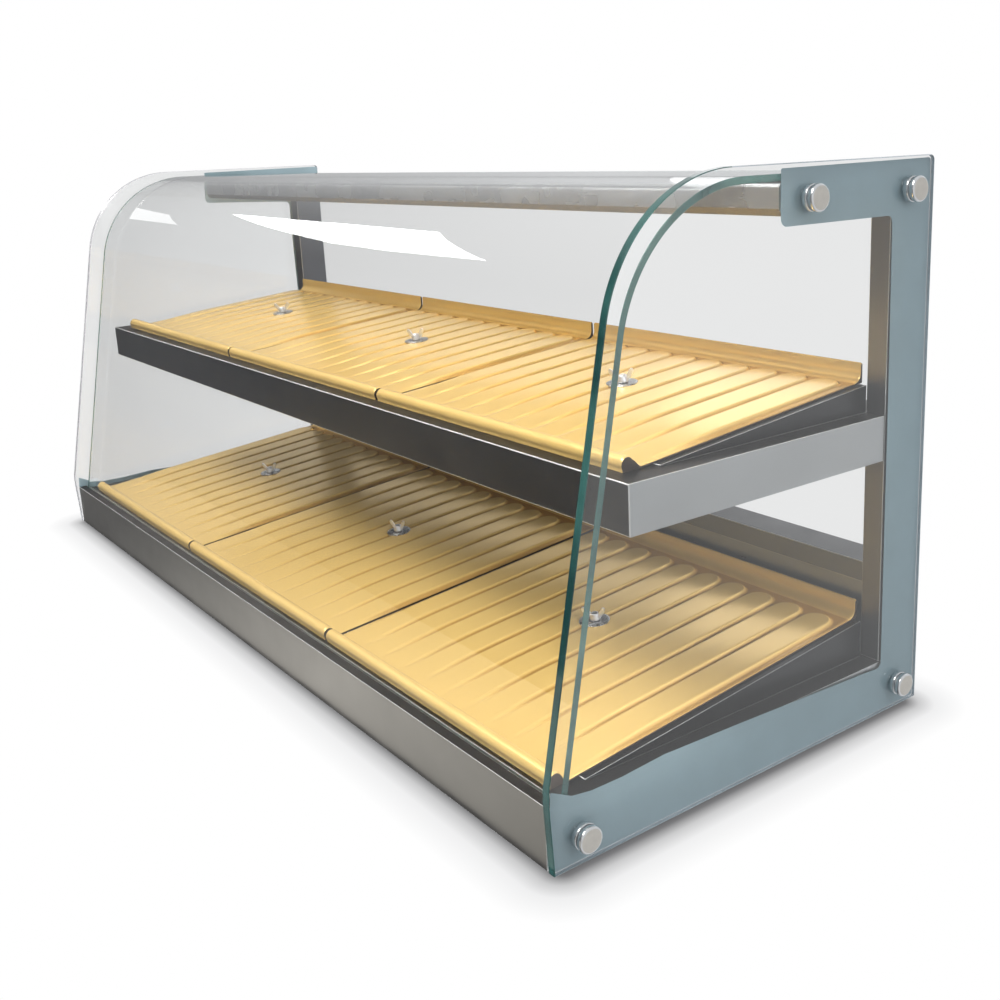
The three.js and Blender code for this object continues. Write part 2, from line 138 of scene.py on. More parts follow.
# the backdrop is paper white where it is seen directly and a little greyer where panes stand in front of it
veil = wn("ShaderNodeMapRange")
wt.links.new(lp.outputs["Transmission Depth"], veil.inputs["Value"])
veil.inputs["To Min"].default_value = 1.0
veil.inputs["To Max"].default_value = 0.83
deep = wn("ShaderNodeMapRange")
wt.links.new(lp.outputs["Transmission Depth"], deep.inputs["Value"])
deep.inputs["From Min"].default_value = 2.0
deep.inputs["From Max"].default_value = 4.0
deep.inputs["To Min"].default_value = 0.0
deep.inputs["To Max"].default_value = 0.14
both = wn("ShaderNodeMath", operation="ADD")
wt.links.new(veil.outputs["Result"], both.inputs[0])
wt.links.new(deep.outputs["Result"], both.inputs[1])
wt.links.new(both.outputs[0], bg_seen.inputs[1])
mixw = wn("ShaderNodeMixShader")
wt.links.new(either.outputs[0], mixw.inputs[0])
wt.links.new(bg_room.outputs[0], mixw.inputs[1])
wt.links.new(bg_seen.outputs[0], mixw.inputs[2])
outw = wn("ShaderNodeOutputWorld")
wt.links.new(mixw.outputs[0], outw.inputs[0])

# --------------------------------------------------------------- material kit


class Mat:
    def __init__(self, name):
        self.m = bpy.data.materials.new(name)
        self.m.use_nodes = True
        self.t = self.m.node_tree
        self.p = self.t.nodes["Principled BSDF"]
        self.out = self.t.nodes["Material Output"]
        self.tc = self.t.nodes.new("ShaderNodeTexCoord")

    def node(self, kind, **props):
        n = self.t.nodes.new(kind)
        for k, v in props.items():
            setattr(n, k, v)
        return n

    def link(self, a, b):
        self.t.links.new(a, b)

    def set(self, **values):
        for k, v in values.items():
            self.p.inputs[k.replace("_", " ")].default_value = v

    def coords(self, scale=(1, 1, 1), rotation=(0, 0, 0)):
        n = self.node("ShaderNodeMapping")
        n.inputs["Scale"].default_value = scale
        n.inputs["Rotation"].default_value = rotation
        self.link(self.tc.outputs["Object"], n.inputs[0])
        return n.outputs[0]

    def noise(self, vector, scale, detail=3, rough=0.5):
        n = self.node("ShaderNodeTexNoise")
        n.inputs["Scale"].default_value = scale
        n.inputs["Detail"].default_value = detail
        n.inputs["Roughness"].default_value = rough
        self.link(vector, n.inputs["Vector"])
        return n.outputs["Fac"]

    def ramp(self, fac, stops):
        n = self.node("ShaderNodeValToRGB")
        e = n.color_ramp.elements
        while len(e) < len(stops):
            e.new(0.5)
        for el, (pos, col) in zip(e, stops):
            el.position = pos
            el.color = (*col, 1) if len(col) == 3 else col
        self.link(fac, n.inputs[0])
        return n.outputs[0]

    def span(self, fac, lo, hi, a=0.0, b=1.0):
        n = self.node("ShaderNodeMapRange")
        n.inputs["From Min"].default_value = a
        n.inputs["From Max"].default_value = b
        n.inputs["To Min"].default_value = lo
        n.inputs["To Max"].default_value = hi
        self.link(fac, n.inputs["Value"])
        return n.outputs["Result"]

    def math(self, op, a, b=None):
        n = self.node("ShaderNodeMath", operation=op)
        for i, v in enumerate((a, b)):
            if v is None:
                continue
            if isinstance(v, (int, float)):
                n.inputs[i].default_value = v
            else:
                self.link(v, n.inputs[i])
        return n.outputs[0]

    def bump(self, height, strength, distance):
        n = self.node("ShaderNodeBump")
        n.inputs["Strength"].default_value = strength
        n.inputs["Distance"].default_value = distance
        self.link(height, n.inputs["Height"])
        self.link(n.outputs[0], self.p.inputs["Normal"])


def brushed(name, base, rough, axis, scratch=1.0, tint=None):
    """Stainless sheet with its grain along one axis of the part."""
    k = Mat(name)
    long, across = 6, 900
    scale = [across] * 3
    scale["xyz".index(axis)] = long
    grain = k.noise(k.coords(tuple(scale)), 1.0, 4, 0.6)
    cloud = k.noise(k.coords((5, 5, 9)), 1.0, 3, 0.55)
    wipe = k.noise(k.coords((22, 14, 22)), 1.0, 2, 0.5)
    fine = max(0.08, min(1, scratch))
    lo = tuple(c * 0.93 for c in base)
    hi = tuple(min(1, c * 1.04) for c in (tint or base))
    tone_ = k.ramp(k.math("ADD", k.math("MULTIPLY", cloud, 1 - 0.38 * fine), k.math("MULTIPLY", grain, 0.38 * fine)), [(0.36, lo), (0.66, hi)])
    k.link(tone_, k.p.inputs["Base Color"])
    r = k.math("ADD", k.span(grain, rough - 0.07 * fine, rough + 0.07 * fine, 0.3, 0.7), k.span(wipe, -0.04, 0.05, 0.35, 0.65))
    k.link(r, k.p.inputs["Roughness"])
    k.set(Metallic=1.0)
    k.bump(grain, 0.22 * scratch, 0.00008)
    return k.m


STEEL_X = brushed("steel_grain_x", (0.45, 0.44, 0.42), 0.33, "x", 0.2)
STEEL_Y = brushed("steel_grain_y", (0.50, 0.50, 0.49), 0.34, "y")
# painted shade: the posts get a darker copy of the stainless; the grain along Z is the steel's own
STEEL_Z = brushed("steel_grain_z", (0.21, 0.212, 0.222), 0.36, "z", 0.5)
# painted shade: a near-black copy of the stainless for the decks, the shelf bottom plate and the crossbar tops
STEEL_PAINTED_SHADE = brushed("steel_painted_shade", (0.060, 0.060, 0.063), 0.34, "x", 0.1)
# painted shade: the shelf frame gets a darker copy of the stainless, standing in for the dim room it reflects
STEEL_SHELF_PAINTED_SHADE = brushed("steel_shelf_painted_shade", (0.165, 0.17, 0.18), 0.32, "x", 0.04)
# painted shade: a near-black copy of the stainless for the up-facing faces of the base housing and the shelf frame
STEEL_TOP_PAINTED_SHADE = brushed("steel_top_painted_shade", (0.045, 0.042, 0.040), 0.42, "x", 0.3)
STEEL_END = brushed("steel_end_grain_y", (0.52, 0.53, 0.535), 0.34, "y", 0.08)
STEEL_HEAD = brushed("steel_header", (0.66, 0.665, 0.67), 0.26, "x", 0.04)
# painted shade: a darker copy of the stainless for the down-facing faces of the header
STEEL_UNDER_PAINTED_SHADE = brushed("steel_header_under_painted_shade", (0.13, 0.125, 0.12), 0.40, "x")
# painted shade: the crossbar gets a darker, bluer copy of the stainless
STEEL_BAR = brushed("steel_crossbar", (0.20, 0.215, 0.24), 0.34, "x")
STEEL_PANEL = brushed("steel_back_panel", (0.34, 0.36, 0.39), 0.34, "x")
STEEL_MILL = brushed("steel_mill", (0.40, 0.40, 0.40), 0.45, "x")


def polished(name, base, rough, fine=1200):
    k = Mat(name)
    swirl = k.noise(k.coords((fine, fine, fine)), 1.0, 2, 0.5)
    marks = k.noise(k.coords((160, 160, 160)), 1.0, 3, 0.6)
    k.link(k.ramp(marks, [(0.3, tuple(c * 0.88 for c in base)), (0.7, base)]), k.p.inputs["Base Color"])
    k.link(k.math("ADD", k.span(marks, rough - 0.04, rough + 0.06, 0.3, 0.7), k.span(swirl, -0.02, 0.02)), k.p.inputs["Roughness"])
    k.set(Metallic=1.0)
    k.bump(swirl, 0.06, 0.00004)
    return k.m


CHROME = polished("bright_plating", (0.80, 0.80, 0.80), 0.16)
SATIN_CAP = polished("satin_cap", (0.66, 0.63, 0.58), 0.36, 2600)
WASHER = polished("pressed_washer", (0.58, 0.58, 0.58), 0.26)
SATIN = polished("satin_screw", (0.86, 0.86, 0.88), 0.34, 1500)
RING = polished("turned_ring", (0.78, 0.79, 0.80), 0.20)


def gold(name, low, high, rough):
    k = Mat(name)
    fine = k.noise(k.coords((1600, 1600, 1600)), 1.0, 2, 0.5)
    cloud = k.noise(k.coords((5, 7, 5)), 1.0, 2, 0.5)
    spots = k.noise(k.coords((30, 18, 30)), 1.0, 2, 0.5)
    skin = k.ramp(k.math("ADD", k.math("MULTIPLY", cloud, 0.7), k.math("MULTIPLY", fine, 0.3)), [(0.36, low), (0.64, high)])
    relief = k.node("ShaderNodeAttribute", attribute_name="relief")
    shade_mix = k.node("ShaderNodeMix", data_type="RGBA", blend_type="MULTIPLY")   # painted shade: the grooves and the flat behind the finger ends are darker than the crowns
    shade_mix.inputs[0].default_value = 1.0
    k.link(skin, shade_mix.inputs[6])
    k.link(k.ramp(relief.outputs["Fac"], [(0.0, (0.66, 0.57, 0.48)), (0.40, (0.78, 0.71, 0.63)), (0.72, (1.0, 1.0, 1.0))]), shade_mix.inputs[7])
    k.link(shade_mix.outputs[2], k.p.inputs["Base Color"])
    k.link(k.math("ADD", k.span(spots, rough - 0.012, rough + 0.016, 0.35, 0.7), k.span(fine, -0.008, 0.008)), k.p.inputs["Roughness"])
    k.set(Metallic=0.42)
    k.p.inputs["Specular IOR Level"].default_value = 0.5
    k.p.inputs["Coat Weight"].default_value = 0.2
    k.p.inputs["Coat Roughness"].default_value = 0.2
    k.bump(fine, 0.03, 0.00001)
    return k.m


GOLD = gold("tray_gold", (0.84, 0.57, 0.193), (0.865, 0.595, 0.207), 0.21)


def plain(name, base, rough, fine=700, strength=0.15, depth=0.00008, metallic=0.0, vary=0.18):
    k = Mat(name)
    fine_n = k.noise(k.coords((fine, fine, fine)), 1.0, 3, 0.6)
    big = k.noise(k.coords((30, 30, 30)), 1.0, 3, 0.6)
    k.link(k.ramp(big, [(0.3, tuple(c * (1 - vary) for c in base)), (0.7, tuple(min(1, c * (1 + vary)) for c in base))]), k.p.inputs["Base Color"])
    k.link(k.span(big, rough - 0.06, rough + 0.06, 0.3, 0.7), k.p.inputs["Roughness"])
    k.set(Metallic=metallic)
    k.bump(fine_n, strength, depth)
    return k.m


# painted highlight: the rounded edges of the sheet metal get this paler, less metallic copy so they read as bright
# lines
FOLD_PAINTED_HIGHLIGHT = plain("fold_painted_highlight", (0.58, 0.58, 0.575), 0.38, 900, 0.02, 0.00002, 0.45, 0.05)
# painted shade: the tray end caps are a near-black brown, standing in for the shade on the tray's sides
TRAY_END_PAINTED_SHADE = plain("tray_end_painted_shade", (0.026, 0.014, 0.008), 0.6)
RUBBER = plain("black_rubber", (0.022, 0.022, 0.023), 0.75, 500, 0.35, 0.0001)
PLASTIC = plain("black_moulded", (0.020, 0.020, 0.021), 0.38, 1500, 0.3, 0.00005)
ROCKER = plain("black_gloss", (0.018, 0.018, 0.019), 0.16, 1500, 0.04, 0.00003)
SHEATH = plain("heater_sheath", (0.16, 0.13, 0.11), 0.5, 500, 0.2, 0.0001, 0.8)
PAINT = plain("enamel_band", (0.340, 0.448, 0.492), 0.42, 900, 0.02, 0.00002, vary=0.03)
BRASS = plain("contact_brass", (0.62, 0.44, 0.18), 0.3, 900, 0.05, 0.00003, 1.0)


def lit(name, base, strength):
    k = Mat(name)
    n = k.noise(k.coords((40, 40, 40)), 1.0, 2, 0.5)
    c = k.ramp(n, [(0.3, tuple(v * 0.94 for v in base)), (0.7, base)])
    k.link(c, k.p.inputs["Base Color"])
    k.link(c, k.p.inputs["Emission Color"])
    k.set(Roughness=0.5)
    k.p.inputs["Emission Strength"].default_value = strength
    return k.m


DIFFUSER = lit("opal_diffuser", (0.93, 0.90, 0.84), 0.12)
BOARD = lit("lamp_board", (0.92, 0.90, 0.84), 1.0)
k = Mat("red_lens")
ring = k.noise(k.coords((300, 300, 300)), 1.0, 2, 0.5)
k.link(k.ramp(ring, [(0.3, (0.42, 0.02, 0.012)), (0.7, (0.62, 0.05, 0.03))]), k.p.inputs["Base Color"])
k.set(Roughness=0.14)
k.p.inputs["Coat Weight"].default_value = 0.5
k.bump(ring, 0.1, 0.0001)
RED = k.m


def pane(name, tint, rough=0.0):
    """Clear sheet glass. Lamps reach through it, so what stands behind is lit."""
    k = Mat(name)
    smear = k.noise(k.coords((3, 3, 3)), 1.0, 2, 0.5)
    k.link(k.ramp(smear, [(0.3, tuple(c * 0.985 for c in tint)), (0.7, tint)]), k.p.inputs["Base Color"])
    k.set(Roughness=rough, IOR=1.5)
    k.p.inputs["Transmission Weight"].default_value = 1.0
    clear = k.node("ShaderNodeBsdfTransparent")
    clear.inputs[0].default_value = (*[c * 0.97 for c in tint], 1)
    path = k.node("ShaderNodeLightPath")
    mix = k.node("ShaderNodeMixShader")
    k.link(path.outputs["Is Shadow Ray"], mix.inputs[0])
    k.link(k.p.outputs[0], mix.inputs[1])
    k.link(clear.outputs[0], mix.inputs[2])
    k.link(mix.outputs[0], k.out.inputs["Surface"])
    return k.m


def glass_edge(name, deep, pale):
    k = Mat(name)
    streak = k.noise(k.coords((14, 14, 14)), 1.0, 3, 0.55)
    k.link(k.ramp(streak, [(0.35, deep), (0.65, pale)]), k.p.inputs["Base Color"])
    k.set(Roughness=0.12, IOR=1.5)
    k.p.inputs["Transmission Weight"].default_value = 0.35
    k.p.inputs["Coat Weight"].default_value = 0.6
    return k.m


SIDE_CLEAR = pane("side_glass_clear", (0.982, 0.988, 0.988))
FRONT_CLEAR = pane("front_glass_clear", (0.980, 0.987, 0.986))
# The green of the edges is the glass's own tint; how dark or pale each edge is is painted: the right pane's front arc
# gets a dark copy, its rear, top and bottom edges a paler blue-grey one, the left pane a pale grey one, as painted
# shade and painted reflection
SIDE_EDGE = glass_edge("side_glass_edge", (0.006, 0.045, 0.043), (0.045, 0.15, 0.135))
REAR_EDGE = glass_edge("rear_glass_edge", (0.27, 0.32, 0.36), (0.40, 0.45, 0.50))
PALE_EDGE = glass_edge("pale_glass_edge", (0.50, 0.50, 0.53), (0.66, 0.66, 0.69))
FRONT_EDGE = glass_edge("front_glass_edge", (0.03, 0.13, 0.12), (0.17, 0.36, 0.31))

# --------------------------------------------------------------- mesh kit


def make(name, verts, faces, mats, body, replaces=(), face_mats=None, sharp=32, loc=None, bevel=None, seg=2, weld=False):
    me = bpy.data.meshes.new(name)
    me.from_pydata([tuple(v) for v in verts], [], faces)
    me.update()
    for m in mats:
        me.materials.append(m)
    if face_mats:
        for p, i in zip(me.polygons, face_mats):
            p.material_index = i
    if weld:
        bm = bmesh.new()
        bm.from_mesh(me)
        bmesh.ops.remove_doubles(bm, verts=bm.verts, dist=2e-6)
        bmesh.ops.recalc_face_normals(bm, faces=bm.faces)
        bm.to_mesh(me)
        bm.free()
    me.shade_smooth()
    me.set_sharp_from_angle(angle=math.radians(sharp))
    o = bpy.data.objects.new(name, me)
    if loc:
        o.matrix_world = loc
    scene.collection.objects.link(o)
    if bevel:
        b = o.modifiers.new("bevel", "BEVEL")
        b.width = bevel
        b.segments = seg
        b.limit_method = "ANGLE"
        b.angle_limit = math.radians(35)
        b.harden_normals = True
    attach(o, body)
    if replaces:
        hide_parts(*replaces)
    return o


def lathe(profile, seg=48):
    """Rings of (r, h) about Z; a profile that ends on the axis closes there."""
    verts, faces, rows = [], [], []
    for r, h in profile:
        if r < 1e-7:
            rows.append([len(verts)])
            verts.append((0, 0, h))
        else:
            rows.append(list(range(len(verts), len(verts) + seg)))
            verts += [(r * math.cos(2 * math.pi * i / seg), r * math.sin(2 * math.pi * i / seg), h) for i in range(seg)]
    closed = len(rows[0]) > 1
    pairs = list(zip(rows, rows[1:])) + ([(rows[-1], rows[0])] if closed else [])
    for a, b in pairs:
        for i in range(seg):
            j = (i + 1) % seg
            if len(a) == 1 and len(b) == 1:
                continue
            if len(a) == 1:
                faces.append((a[0], b[j], b[i]))
            elif len(b) == 1:
                faces.append((a[i], a[j], b[0]))
            else:
                faces.append((a[i], a[j], b[j], b[i]))
    return verts, faces


def rounded(points, radius, n=5):
    """2-D outline with each (u, v, r) corner rounded; r falls back on radius."""
    out, m = [], len(points)
    for i, p in enumerate(points):
        a, b, c = Vector(points[i - 1][:2]), Vector(p[:2]), Vector(points[(i + 1) % m][:2])
        r = p[2] if len(p) > 2 else radius
        d1, d2 = (a - b).normalized(), (c - b).normalized()
        ang = math.acos(max(-1, min(1, d1.dot(d2))))
        if r <= 0 or abs(ang - math.pi) < 0.02:
            out.append((b.x, b.y))
            continue
        t = r / math.tan(ang / 2)
        s, e = b + d1 * t, b + d2 * t
        centre = b + (d1 + d2).normalized() * (r / math.sin(ang / 2))
        a0 = math.atan2(s.y - centre.y, s.x - centre.x)
        a1 = math.atan2(e.y - centre.y, e.x - centre.x)
        da = (a1 - a0 + math.pi) % (2 * math.pi) - math.pi
        out += [(centre.x + r * math.cos(a0 + da * k / n), centre.y + r * math.sin(a0 + da * k / n)) for k in range(n + 1)]
    return out


def arc(cy, cz, r, a0, a1, n):
    return [(cy + r * math.cos(math.radians(a0 + (a1 - a0) * i / n)), cz + r * math.sin(math.radians(a0 + (a1 - a0) * i / n))) for i in range(n + 1)]


# --------------------------------------------------------------- carried CAD sheet metal
def carry(node, mat, bevel=0.0007, seg=2, fold=None, faces=()):
    """Material of a carried piece; faces lists (material, test of normal and centre), fold gives the rounded edges a
    paler material, a painted highlight.
    """
    o = NODES[node]
    o.data.materials.clear()
    for m in [mat] + [f[0] for f in faces] + ([fold] if fold else []):
        o.data.materials.append(m)
    turn = o.matrix_world.to_3x3()
    for p in o.data.polygons:
        nrm, at = turn @ p.normal, o.matrix_world @ p.center
        p.material_index = 0
        for i, (_, test) in enumerate(faces):
            if test(nrm, at):
                p.material_index = i + 1
    if bevel:
        o.modifiers.new("weld", "WELD").merge_threshold = 2e-5
        b = o.modifiers.new("bevel", "BEVEL")
        b.width = bevel
        b.segments = seg
        b.limit_method = "ANGLE"
        b.angle_limit = math.radians(30)
        b.harden_normals = True
        if fold:
            b.material = len(o.data.materials) - 1
    return o


# painted shade: the up-facing faces of the base housing take a near-black copy of the stainless
carry("base_housing", STEEL_X, 0.0009, 2, FOLD_PAINTED_HIGHLIGHT, [
    (STEEL_TOP_PAINTED_SHADE, lambda n, c: n.z > 0.6),
    (STEEL_END, lambda n, c: abs(n.x) > 0.8),
])
carry("bottom_plate", STEEL_MILL, 0)
# painted shade: the down-facing faces of the header take a darker copy of the stainless
carry("header_housing", STEEL_HEAD, 0.0006, 2, None, [
    (STEEL_UNDER_PAINTED_SHADE, lambda n, c: n.z < -0.45),
])
for s in SIDES:
    carry(f"post_{s}", STEEL_Z, 0.0007, 2, FOLD_PAINTED_HIGHLIGHT)
# painted shade: the crossbar is a darker, bluer copy of the stainless and its top faces the near-black one
carry("rear_crossbar", STEEL_BAR, 0.0007, 2, FOLD_PAINTED_HIGHLIGHT, [(STEEL_PAINTED_SHADE, lambda n, c: n.z > 0.6)])
carry("lower_back_panel", STEEL_PANEL, 0)
# painted shade: the shelf frame is a darker copy of the stainless, its up-facing faces a near-black one
carry("shelf_frame", STEEL_SHELF_PAINTED_SHADE, 0.0009, 2, FOLD_PAINTED_HIGHLIGHT, [
    (STEEL_END, lambda n, c: abs(n.x) > 0.8),
    (STEEL_TOP_PAINTED_SHADE, lambda n, c: n.z > 0.6),
])
# painted shade: the shelf bottom plate and both decks take the near-black copy of the stainless
carry("shelf_bottom_plate", STEEL_PAINTED_SHADE, 0)
carry("lower_deck", STEEL_PAINTED_SHADE, 0.0006, 2, FOLD_PAINTED_HIGHLIGHT)
carry("upper_deck", STEEL_PAINTED_SHADE, 0.0006, 2, FOLD_PAINTED_HIGHLIGHT)
carry("glass_gasket", RUBBER, 0)
carry("lamp_diffuser", DIFFUSER, 0.0005)
carry("lamp_strip", BOARD, 0.0003)
for k_ in ("lower", "upper"):
    carry(f"heater_{k_}", SHEATH, 0)
carry("thermostat", STEEL_MILL, 0.0004)
carry("power_switch_frame", PLASTIC, 0.0005)
carry("light_switch_frame", PLASTIC, 0.0005)
carry("power_inlet", PLASTIC, 0.0004)
carry("indicator_lamp", RED, 0)

# --------------------------------------------------------------- glass
LEAN = 66 / 334
lean = math.degrees(math.atan(LEAN))
box_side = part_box("side_glass_right")
HALF_W = box_side[1].x / MM
IN_X = box_side[0].x / MM
TOP = box_side[1].z / MM
BOTTOM = box_side[0].z / MM
YB = box_side[1].y / MM
YF = box_side[0].y / MM
SIDE_R, KNEE = 130, 70
cz = TOP - SIDE_R
zt = cz + SIDE_R * math.sin(math.radians(lean))
cy = YF + LEAN * (zt - KNEE) + SIDE_R * math.cos(math.radians(lean))
side_outline = [(YF + 3, BOTTOM), (YF + 0.5, 52), (YF, KNEE - 6), (YF + 0.6, KNEE + 6)]
side_outline += arc(cy, cz, SIDE_R, 180 - lean, 90, 40)
side_outline += arc(YB - 5, TOP - 5, 5, 90, 0, 6) + [(YB, BOTTOM)]
side_outline.reverse()                       # anticlockwise in (y, z)

FIX = {}
for w in ("base_front", "base_rear", "header_front", "header_rear"):
    lo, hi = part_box(f"standoff_right_{w}")
    FIX[w] = ((lo.y + hi.y) / 2 / MM, (lo.z + hi.z) / 2 / MM)

# enamel band on the inner face: header arm, post arm and base arm in one C
band = rounded([
    (30, 516, 1.5), (30, 470.5, 7), (171.5, 470.5, 7), (173.0, 300, 0), (173.5, 47.5, 6),
    (160, 49, 0), (88, 52.5, 0), (-20, 57.5, 0), (-104, 60.8, 0), (-150, 58.2, 0), (-180, 58.6, 0), (-199, 61.5, 0), (-214, 69.5, 2), (-219.0, 72, 1),
    (-220.2, 52, 0), (-218.6, BOTTOM + 0.9, 2), (223.1, BOTTOM + 0.9, 1), (223.1, 517.4, 3),
], 0, 7)


def inside(pt, poly):
    x, y = pt
    hit = False
    for i in range(len(poly)):
        (x1, y1), (x2, y2) = poly[i - 1], poly[i]
        if (y1 > y) != (y2 > y) and x < (x2 - x1) * (y - y1) / (y2 - y1) + x1:
            hit = not hit
    return hit


def circle(c, r, n=40):
    return [(c[0] + r * math.cos(2 * math.pi * i / n), c[1] + r * math.sin(2 * math.pi * i / n)) for i in range(n)]


def inset(outline, d):
    """Offset a smooth anticlockwise outline inwards by d."""
    out, m = [], len(outline)
    for i in range(m):
        a, b, c = Vector(outline[i - 1]), Vector(outline[i]), Vector(outline[(i + 1) % m])
        n1 = Vector((-(b - a).y, (b - a).x)).normalized()
        n2 = Vector((-(c - b).y, (c - b).x)).normalized()
        n = (n1 + n2).normalized()
        out.append(tuple(b + n * (d / max(0.35, n.dot(n1)))))
    return out


def flat_face(rings, classify):
    """Triangles of the area between rings, as (points, triangles, classes)."""
    pts, edges = [], []
    for ring_ in rings:
        a = len(pts)
        pts += [Vector(p) for p in ring_]
        edges += [(a + i, a + (i + 1) % len(ring_)) for i in range(len(ring_))]
    vs, _, fs, *_ = delaunay_2d_cdt(pts, edges, [], 0, 1e-6)
    keep, cls = [], []
    for f in fs:
        c = sum((vs[i] for i in f), Vector((0, 0))) / len(f)
        k_ = classify((c.x, c.y))
        if k_ is not None:
            keep.append(f)
            cls.append(k_)
    return vs, keep, cls


ARRIS = 0.7                                   # polished chamfer round the pane
for s, sign in (("left", -1), ("right", 1)):
    x_out, x_in = sign * HALF_W, sign * IN_X
    core = inset(side_outline, ARRIS)
    holes = [circle(c, 5.0) for c in FIX.values()]

    def kind(p, painted):
        if not inside(p, core) or any(inside(p, h) for h in holes):
            return None
        return 1 if painted and inside(p, band) else 0

    verts, faces, mats_ = [], [], []

    def put(vs, fs, cs, x, flip):
        a = len(verts)
        verts.extend((x * MM, v.x * MM, v.y * MM) for v in vs)
        for f, c in zip(fs, cs):
            f = [a + i for i in f]
            faces.append(tuple(reversed(f)) if flip else tuple(f))
            mats_.append(c)

    vs, fs, cs = flat_face([core] + holes, lambda p: kind(p, False))
    put(vs, fs, cs, x_out, sign < 0)
    vs, fs, cs = flat_face([core] + holes + [band], lambda p: kind(p, True))
    put(vs, fs, cs, x_in, sign > 0)
    # chamfer, edge, chamfer round the outline
    rings_ = [(core, x_out), (side_outline, x_out - sign * ARRIS), (side_outline, x_in + sign * ARRIS), (core, x_in)]
    m = len(side_outline)
    a = len(verts)
    for ring_, x in rings_:
        verts.extend((x * MM, p[0] * MM, p[1] * MM) for p in ring_)
    for r in range(3):
        for i in range(m):
            j = (i + 1) % m
            q = (a + r * m + i, a + r * m + j, a + (r + 1) * m + j, a + (r + 1) * m + i)
            faces.append(q if sign < 0 else tuple(reversed(q)))
            # painted shade on the front arc, a paler painted reflection on the rear, top and bottom edges
            mats_.append(3 if side_outline[i][0] > 30 or side_outline[i][1] < 30 else 2)
    for hole in holes:
        a, n = len(verts), len(hole)
        verts.extend((x_out * MM, p[0] * MM, p[1] * MM) for p in hole)
        verts.extend((x_in * MM, p[0] * MM, p[1] * MM) for p in hole)
        for i in range(n):
            j = (i + 1) % n
            q = (a + i, a + n + i, a + n + j, a + j)
            faces.append(q if sign < 0 else tuple(reversed(q)))
            mats_.append(2)
    make(f"side_pane_{s}", verts, faces, [SIDE_CLEAR, PAINT, SIDE_EDGE if s == "right" else PALE_EDGE, REAR_EDGE if s == "right" else PALE_EDGE], "case", [f"side_glass_{s}"], mats_, 25, weld=True)

flo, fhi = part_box("front_glass")
GHALF, GTOP, GBACK, GLOW = fhi.x / MM, fhi.z / MM, fhi.y / MM, flo.z / MM
GR, GT = 135, 6
gcy, gcz = -7, GTOP - GR


def glass_line(r):
    first = arc(gcy, gcz, r, 180 - lean, 90, 48)
    y, z = first[0]
    foot = (y - LEAN * (z - GLOW), GLOW)
    straight = [(foot[0] + (y - foot[0]) * k / 6, foot[1] + (z - foot[1]) * k / 6) for k in range(6)]
    return straight + first + [(GBACK, GTOP - (GR - r))]


outer_l, inner_l = glass_line(GR), glass_line(GR - GT)
outer_c, inner_c = glass_line(GR - 0.5), glass_line(GR - GT + 0.5)
n = len(outer_l)
cols = [(-GHALF, 0), (-GHALF + 0.5, 1)] + [(x, 1) for x in (-400, -200, 0, 200, 400)] + [(GHALF - 0.5, 1), (GHALF, 0)]
verts, faces, fm = [], [], []
for x, full in cols:
    ring_ = (outer_l if full else outer_c) + list(reversed(inner_l if full else inner_c))
    verts += [(x * MM, y * MM, z * MM) for y, z in ring_]
m = 2 * n
for c in range(len(cols) - 1):
    for i in range(m):
        j = (i + 1) % m
        faces.append((c * m + i, (c + 1) * m + i, (c + 1) * m + j, c * m + j))
        fm.append(1 if i in (n - 1, m - 1) or c in (0, len(cols) - 2) else 0)
for c, flip in ((0, False), (len(cols) - 1, True)):
    for i in range(n - 1):
        q = (c * m + i, c * m + i + 1, c * m + m - 2 - i, c * m + m - 1 - i)
        faces.append(tuple(reversed(q)) if flip else q)
        fm.append(1)
make("bent_front_pane", verts, faces, [FRONT_CLEAR, FRONT_EDGE], "case", ["front_glass"], fm, 25)

# --------------------------------------------------------------- trays
RIBS, PITCH, RIB_HALF, RIB_H = 10, 36.6, 16.4, 3.1


def smooth(a, b, x):
    t = max(0.0, min(1.0, (x - a) / (b - a)))
    return t * t * (3 - 2 * t)


